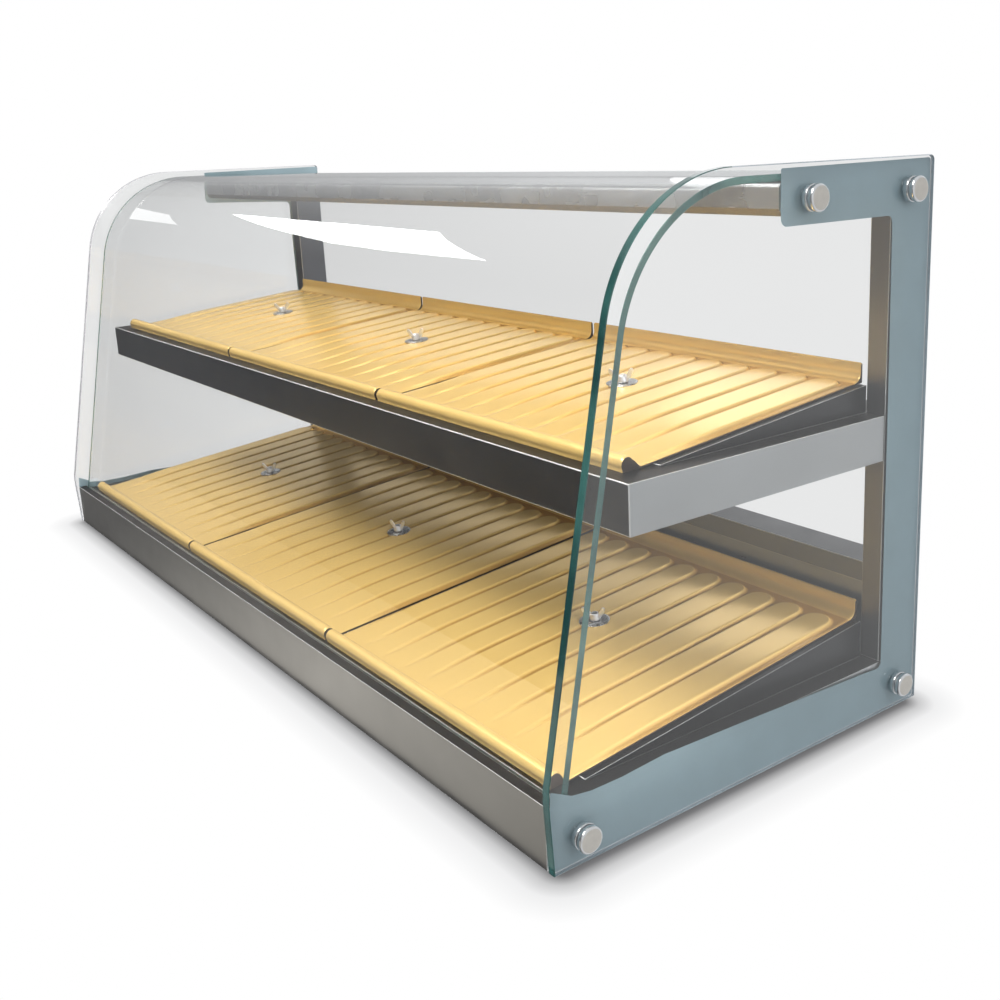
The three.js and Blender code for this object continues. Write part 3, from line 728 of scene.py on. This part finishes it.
def tray_mesh(node, lip, knee, floor, slope, nut_y, rear_end):
    """Cross-section swept along X; fingers are raised square to the slope."""
    lo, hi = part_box(node)
    z0 = lo.z / MM
    rear, top_z = hi.y / MM, hi.z / MM
    a = math.atan(slope)
    nrm = Vector((-math.sin(a), math.cos(a)))
    under = lambda y: z0 + slope * max(0, y - knee)
    T, UP, wall = 5.0, 14.0, 2.2
    surf = lambda y: under(y) + T - RIB_H * 0.85
    prof = []                                  # (y, z, how much of the finger relief shows)
    prof.append((lip + 1.0, z0, 0))
    prof += [(y, z, 0) for y, z in arc(lip + 6.1, z0 + 6.4, 6.1, 215, 180, 3)]
    prof += [(y, z, 0) for y, z in arc(lip + 6.1, z0 + 6.4, 6.1, 172, 28, 14)]
    # hollow behind the bead, running into the ribbed floor
    y1, z1 = prof[-1][0], prof[-1][1]
    y2 = knee + 4
    z2 = surf(y2)
    for i in range(1, 9):
        t = i / 9
        h = (1 - t) ** 2 * (1 - t)
        y = y1 + (y2 - y1) * t
        prof.append((y, z2 - 0.4 * math.sin(t * math.pi) + (z1 - z2) * (1 - smooth(0, 1, min(1, t * 1.35))), 0))
    ys, y = [], y2
    while y < 118:
        ys.append(y)
        y += 1.6 if y < y2 + 26 else 9.0
    y = 118
    bend_r = 9.0
    y_end = rear - wall - bend_r
    while y < y_end - 0.5:
        ys.append(y)
        y += 1.3
    prof += [(y, surf(y), 1) for y in ys]
    by, bz = y_end, surf(y_end) + bend_r
    prof += [(yy, zz, 0) for yy, zz in arc(by, bz, bend_r, -84, 0, 8)]
    prof += [(rear - wall, top_z - 0.9, 0), (rear - wall + 0.4, top_z - 0.2, 0), (rear - wall / 2, top_z, 0), (rear - 0.4, top_z - 0.2, 0), (rear, top_z - 0.9, 0)]
    prof += [(rear, under(rear) + 1, 0), (rear - 0.8, under(rear) + 0.05, 0), (knee, z0, 0)]
    lo_x, hi_x = lo.x / MM + 1.1, hi.x / MM - 1.1
    mid = (lo_x + hi_x) / 2
    xs = [lo_x, lo_x + 0.5, lo_x + 1.4]
    step, x = 1.0, lo_x + 2.4
    while x < hi_x - 2.2:
        xs.append(x)
        x += step
    xs += [hi_x - 1.4, hi_x - 0.5, hi_x]
    end_y, start_y = rear_end, y2 + 3

    def relief(x, y):
        k_ = round((x - mid) / PITCH + (RIBS - 1) / 2)
        k_ = max(0, min(RIBS - 1, k_))
        u = abs(x - mid - (k_ - (RIBS - 1) / 2) * PITCH)
        v = 0.0
        if y > end_y - RIB_HALF:
            v = y - (end_y - RIB_HALF)
            d = math.hypot(u, v)
        else:
            d = u
        h = 1 - smooth(RIB_HALF - 2.6, RIB_HALF + 1.2, d)
        crown = 0.25 * (1 - min(1, d / RIB_HALF) ** 2)
        return (RIB_H * h + crown) * smooth(start_y - 12, start_y + 95, y)

    # seat round the screw: returns the height unchanged and is never called
    def seat(x, y, h):
        d = math.hypot(x - mid, y - nut_y)
        return h

    verts, faces, fm, groove_shade_mask = [], [], [], []
    m = len(prof)
    for xi, x in enumerate(xs):
        edge = min(x - lo_x, hi_x - x)
        soft = 0.0 if edge > 1.6 else (1 - edge / 1.6) ** 2
        for y, z, w in prof:
            h = relief(x, y) if w else 0
            fade = smooth(start_y - 12, start_y + 95, y)
            # painted shade mask: 1 on the crowns and off the ribs, lower in the grooves and behind the finger ends
            groove_shade_mask.append(1 - fade * (1 - min(1, h / max(0.05, RIB_H * fade))) if w else 1.0)
            dz = h * w
            yy, zz = y + nrm.x * dz, z + nrm.y * dz
            top = zz > under(y) + 1.5
            if top:
                zz -= 0.9 * soft
            verts.append((x * MM, yy * MM, zz * MM))
    for c in range(len(xs) - 1):
        for i in range(m):
            j = (i + 1) % m
            faces.append((c * m + i, c * m + j, (c + 1) * m + j, (c + 1) * m + i))
            fm.append(0)
    # the two end caps take the painted-shade material
    faces.append(tuple(range(m - 1, -1, -1)))
    fm.append(1)
    faces.append(tuple((len(xs) - 1) * m + i for i in range(m)))
    fm.append(1)
    return verts, faces, fm, groove_shade_mask


TIER = {
    "lower": dict(lip=-196, knee=-183, floor=53, slope=0.104, nut=3, rear_end=153.0),
    "upper": dict(lip=-117, knee=-97, floor=293, slope=0.097, nut=47, rear_end=157.0),
}
for tier, t in TIER.items():
    for c in COLS:
        v, f, fm, groove_shade_mask = tray_mesh(f"tray_{tier}_{c}", t["lip"], t["knee"], t["floor"], t["slope"], t["nut"], t["rear_end"])
        o = make(f"ribbed_tray_{tier}_{c}", v, f, [GOLD, TRAY_END_PAINTED_SHADE], f"{tier}_tray_{c}", [f"tray_{tier}_{c}"], fm, 50)
        o.data.attributes.new("relief", "FLOAT", "POINT").data.foreach_set("value", groove_shade_mask)
        if tier == "lower":
            low_fill_on.objects.link(o)

# --------------------------------------------------------------- washers and wing screws
wash_prof = [(3.5, 0.0), (13.9, 0.0), (14.35, 0.25), (14.5, 0.6), (14.5, 1.0), (14.3, 1.35), (13.8, 1.55), (12.0, 1.6), (6, 1.45), (3.5, 1.4)]


def wing(u_sign):
    """Half of a pressed wing, a curved ear with a rolled rim; not built, returns an empty list of rows."""
    rows = [
        # (u, v, half thickness, half length along the ear's cross direction)
    ]
    return rows


def ear_mesh():
    verts, faces = [], []
    for s in (1, -1):
        out = [(2.2, 0.6), (4.4, 1.0), (6.2, 2.6), (8.6, 5.6), (10.6, 8.6), (11.2, 10.6), (11.0, 12.2), (9.9, 13.2), (8.5, 13.1), (7.2, 11.8), (5.6, 9.2), (4.2, 6.9), (3.0, 5.4), (2.0, 4.6)]
        c = (6.2, 6.6)
        th_edge, th_mid = 0.75, 1.15
        base = len(verts)
        for ty in (-1, 1):
            for u, v in out:
                verts.append((s * u, ty * th_edge, v))
            for u, v in out:
                verts.append((s * (c[0] + (u - c[0]) * 0.62), ty * th_mid, c[1] + (v - c[1]) * 0.62))
        n_ = len(out)
        for ty, off in ((0, base), (1, base + 2 * n_)):
            flip = (ty == 0) != (s < 0)
            for i in range(n_):
                j = (i + 1) % n_
                q = (off + i, off + j, off + n_ + j, off + n_ + i)
                faces.append(tuple(reversed(q)) if not flip else q)
            cap = tuple(off + n_ + i for i in range(n_))
            faces.append(tuple(reversed(cap)) if not flip else cap)
        for i in range(n_):
            j = (i + 1) % n_
            q = (base + i, base + j, base + 2 * n_ + j, base + 2 * n_ + i)
            faces.append(q if s < 0 else tuple(reversed(q)))
    return verts, faces


for tier, t in TIER.items():
    a = math.atan(t["slope"])
    for c in COLS:
        lo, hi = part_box(f"tray_{tier}_{c}")
        z0 = lo.z / MM
        x = (lo.x + hi.x) / 2 / MM
        zu = z0 + t["slope"] * (t["nut"] - t["knee"])
        at = Matrix.Translation(Vector((x, t["nut"], zu)) * MM) @ Matrix.Rotation(a, 4, "X")
        w0 = 5 * math.cos(a) + 0.3
        v, f = lathe([(r * MM, (h + w0) * MM) for r, h in wash_prof], 56)
        make(f"tray_washer_{tier}_{c}", v, f, [WASHER], f"{tier}_tray_{c}", [f"washer_{tier}_{c}"], None, 40, at)
        s0 = w0 + 1.6 + 0.3
        hub = [(0, -9), (2.2, -9), (3.0, -8.2), (3.0, s0), (5.0, s0), (5.5, s0 + 0.4), (5.6, s0 + 1.2), (5.2, s0 + 2.2), (4.6, s0 + 4.6), (4.2, s0 + 6.2), (3.5, s0 + 7.1), (2.4, s0 + 7.4), (2.2, s0 + 6.6), (0, s0 + 6.4)]
        v, f = lathe([(r * MM, h * MM) for r, h in hub], 40)
        ev, ef = ear_mesh()
        turn = Matrix.Rotation(math.radians({"left": 38, "centre": 24, "right": 30}[c] + (8 if tier == "upper" else 0)), 4, "Z")
        k0 = len(v)
        v = list(v) + [tuple(turn @ Vector((p[0] * MM, p[1] * MM, (p[2] + s0) * MM))) for p in ev]
        f = list(f) + [tuple(k0 + i for i in q) for q in ef]
        o = make(f"wing_nut_{tier}_{c}", v, f, [SATIN], f"{tier}_screw_{c}", [f"wing_screw_{tier}_{c}"], None, 45, at, bevel=0.00025)

# --------------------------------------------------------------- glass fixings
cap = [(0, 11.3), (9.6, 11.3), (10.3, 11.15), (10.8, 10.8), (11.15, 10.3), (11.3, 9.6), (11.3, 7.3), (11.1, 6.9), (10.6, 6.6), (8.4, 6.6)]
neck = [(8.4, 4.7), (10.6, 4.7), (11.1, 4.4), (11.3, 3.9), (11.3, 1.0), (11.1, 0.5), (10.6, 0.3), (4, 0.3), (4, -14), (0, -14)]
prof = list(reversed(cap + neck))
for s, sign in (("left", -1), ("right", 1)):
    for w, (y, z) in FIX.items():
        v, f = lathe([(r * MM, h * MM) for r, h in prof], 64)
        fm = []
        for q in f:
            zc = sum(v[i][2] for i in q) / len(q)
            rc = max(math.hypot(v[i][0], v[i][1]) for i in q)
            fm.append(1 if zc > 11.28 * MM or (zc < 11.3 * MM and zc > 11.2 * MM and rc < 9.7 * MM) else 0)
        at = Matrix.Translation(Vector((sign * HALF_W, y, z)) * MM) @ Matrix.Rotation(sign * math.pi / 2, 4, "Y")
        make(f"glass_fixing_{s}_{w}", v, f, [RING, SATIN_CAP], "case", [f"standoff_{s}_{w}"], fm, 30, at)

# --------------------------------------------------------------- feet
for nm in ("front_left", "front_right", "rear_left", "rear_right"):
    lo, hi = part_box(f"foot_{nm}")
    c = (lo + hi) / 2
    h = (hi.z - lo.z) / MM
    v, f = lathe([(0, 0), (13.6 * MM, 0), (14.5 * MM, 0.3 * MM), (15 * MM, 0.9 * MM), (15 * MM, (h - 0.4) * MM), (14.6 * MM, h * MM), (0, h * MM)], 48)
    make(f"rubber_pad_{nm}", v, f, [RUBBER], "case", [f"foot_{nm}"], None, 35, Matrix.Translation((c.x, c.y, lo.z)))

# --------------------------------------------------------------- rear controls
lo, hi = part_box("thermostat_knob")
kc = ((lo.x + hi.x) / 2, lo.y, (lo.z + hi.z) / 2)
kprof = [(0, 0.3), (14.4, 0.3), (15, 0.8), (15, 2.0), (14.6, 2.6), (13.2, 3.2), (12.7, 4.0), (11.9, 11.2), (11.5, 12.1), (10.7, 12.6), (6, 12.8), (0, 12.8)]
seg = 96
verts, faces = lathe([(r, h - 0.3) for r, h in kprof], seg)
grip = []
for x, y, z in verts:
    r = math.hypot(x, y)
    if 3.2 < z < 12.2 and r > 11:
        ang = math.atan2(y, x)
        r2_ = r - 0.35 * (0.5 + 0.5 * math.cos(ang * 24))
        x, y = x * r2_ / r, y * r2_ / r
    grip.append((x * MM, y * MM, z * MM))
at = Matrix.Translation(kc) @ Matrix.Rotation(-math.pi / 2, 4, "X")
make("dial_knob", grip, faces, [PLASTIC], "knob", ["thermostat_knob"], None, 40, at)
# raised pointer line on the knob
v = [(-0.6, 2.5, 12.3), (0.6, 2.5, 12.3), (0.6, 11.2, 12.0), (-0.6, 11.2, 12.0), (-0.5, 2.7, 12.95), (0.5, 2.7, 12.95), (0.5, 11.0, 12.85), (-0.5, 11.0, 12.85)]
f = [(3, 2, 1, 0), (4, 5, 6, 7), (0, 1, 5, 4), (1, 2, 6, 5), (2, 3, 7, 6), (3, 0, 4, 7)]
POINTER = plain("pointer_white", (0.78, 0.78, 0.76), 0.4)
make("dial_pointer", [(x * MM, y * MM, (z - 0.3) * MM) for x, y, z in v], f, [POINTER], "knob", (), None, 30, at, bevel=0.00015)

for nm in ("power", "light"):
    carry(f"{nm}_switch_rocker", ROCKER, 0.0005, 3)

# --------------------------------------------------------------- floor
bpy.ops.mesh.primitive_grid_add(x_subdivisions=48, y_subdivisions=48, size=120, location=(0, 0, -0.0002))
floor = bpy.context.object
floor.name = "studio_floor"
kf = Mat("studio_floor")
nf = kf.noise(kf.coords((2, 2, 2)), 1.0, 2, 0.5)
kf.link(kf.ramp(nf, [(0.3, (0.80, 0.80, 0.80)), (0.7, (0.82, 0.82, 0.82))]), kf.p.inputs["Base Color"])
kf.set(Roughness=0.9)
kf.p.inputs["Specular IOR Level"].default_value = 0.0
far = kf.node("ShaderNodeVectorMath", operation="LENGTH")
kf.link(kf.tc.outputs["Object"], far.inputs[0])
kf.p.inputs["Emission Color"].default_value = (1, 1, 1, 1)
kf.link(kf.span(far.outputs["Value"], 0.04, 0.7, 0.75, 3.0), kf.p.inputs["Emission Strength"])
# painted shadow: camera rays see an emissive floor that darkens towards the footprint of the case, a painted contact
# shadow; other rays see the lit floor
sep_f = kf.node("ShaderNodeSeparateXYZ")
kf.link(kf.tc.outputs["Object"], sep_f.inputs[0])
dx = kf.math("MAXIMUM", kf.math("SUBTRACT", kf.math("ABSOLUTE", sep_f.outputs[0]), 0.590), 0.0)
dy = kf.math("MAXIMUM", kf.math("SUBTRACT", kf.math("ABSOLUTE", sep_f.outputs[1]), 0.206), 0.0)
reach = kf.math("SQRT", kf.math("ADD", kf.math("MULTIPLY", dx, dx), kf.math("MULTIPLY", dy, dy)))
tone = kf.ramp(kf.math("MULTIPLY", reach, 12.0), [(0.0, (0.07, 0.07, 0.072)), (0.13, (0.20, 0.20, 0.205)), (0.27, (0.60, 0.60, 0.605)), (0.45, (0.87, 0.87, 0.875)), (0.80, (1.0, 1.0, 1.0))])
paper = kf.node("ShaderNodeEmission")
kf.link(tone, paper.inputs[0])
seen = kf.node("ShaderNodeLightPath")
pick = kf.node("ShaderNodeMixShader")
kf.link(seen.outputs["Is Camera Ray"], pick.inputs[0])
kf.link(kf.p.outputs[0], pick.inputs[1])
kf.link(paper.outputs[0], pick.inputs[2])
kf.link(pick.outputs[0], kf.out.inputs["Surface"])
floor.data.materials.append(kf.m)
floor.visible_glossy = floor.visible_transmission = False

# a low card in front that only polished metal sees, so that the base picks up a soft grey from the counter
bpy.ops.mesh.primitive_grid_add(x_subdivisions=2, y_subdivisions=2, size=1, location=(-0.10, -0.415, 0.0008))
card = bpy.context.object
card.name = "bounce_card"
card.scale = (2.2, 0.375, 1)
kc_ = Mat("bounce_card")
run = kc_.node("ShaderNodeSeparateXYZ")
kc_.link(kc_.tc.outputs["Object"], run.inputs[0])
nc = kc_.span(run.outputs[0], 0, 1, -0.5, 0.5)
kc_.link(kc_.ramp(nc, [(0.30, (0.09, 0.09, 0.092)), (0.40, (0.20, 0.198, 0.19)), (0.62, (0.66, 0.64, 0.60)), (0.80, (0.36, 0.35, 0.325))]), kc_.p.inputs["Emission Color"])
kc_.link(kc_.ramp(nc, [(0.0, (0.01, 0.01, 0.01)), (1.0, (0.02, 0.02, 0.02))]), kc_.p.inputs["Base Color"])
kc_.set(Roughness=1.0)
kc_.p.inputs["Emission Strength"].default_value = 1.0
card.data.materials.append(kc_.m)
card.visible_camera = card.visible_diffuse = card.visible_transmission = card.visible_shadow = False

# a long softbox high on the left, caught only as a clean streak on the bend of the front glass
def soft_box(name, pts, z, power):
    me = bpy.data.meshes.new(name)
    me.from_pydata([(x, y, z) for x, y in pts], [], [tuple(range(len(pts)))])
    me.update()
    o = bpy.data.objects.new(name, me)
    scene.collection.objects.link(o)
    km = Mat(name)
    nz = km.noise(km.coords((0.8, 0.8, 0.8)), 1.0, 1, 0.5)
    km.link(km.ramp(nz, [(0.3, (0.97, 0.98, 1.0)), (0.7, (1.0, 1.0, 1.0))]), km.p.inputs["Emission Color"])
    km.p.inputs["Emission Strength"].default_value = power
    km.set(Roughness=1.0)
    me.materials.append(km.m)
    o.visible_camera = o.visible_diffuse = o.visible_transmission = o.visible_shadow = False
    return o


soft_box("streak_box", [(-2.933, -0.27), (-1.547, -0.385), (-1.69, -0.984), (-2.27, -0.975), (-2.61, -0.898), (-2.803, -0.6)], 1.6, 7.0)

soft_box("sweep_box", [(-4.813, -0.621), (-4.098, -0.182), (-3.66, -0.428), (-3.9, -0.75)], 1.6, 0.5)
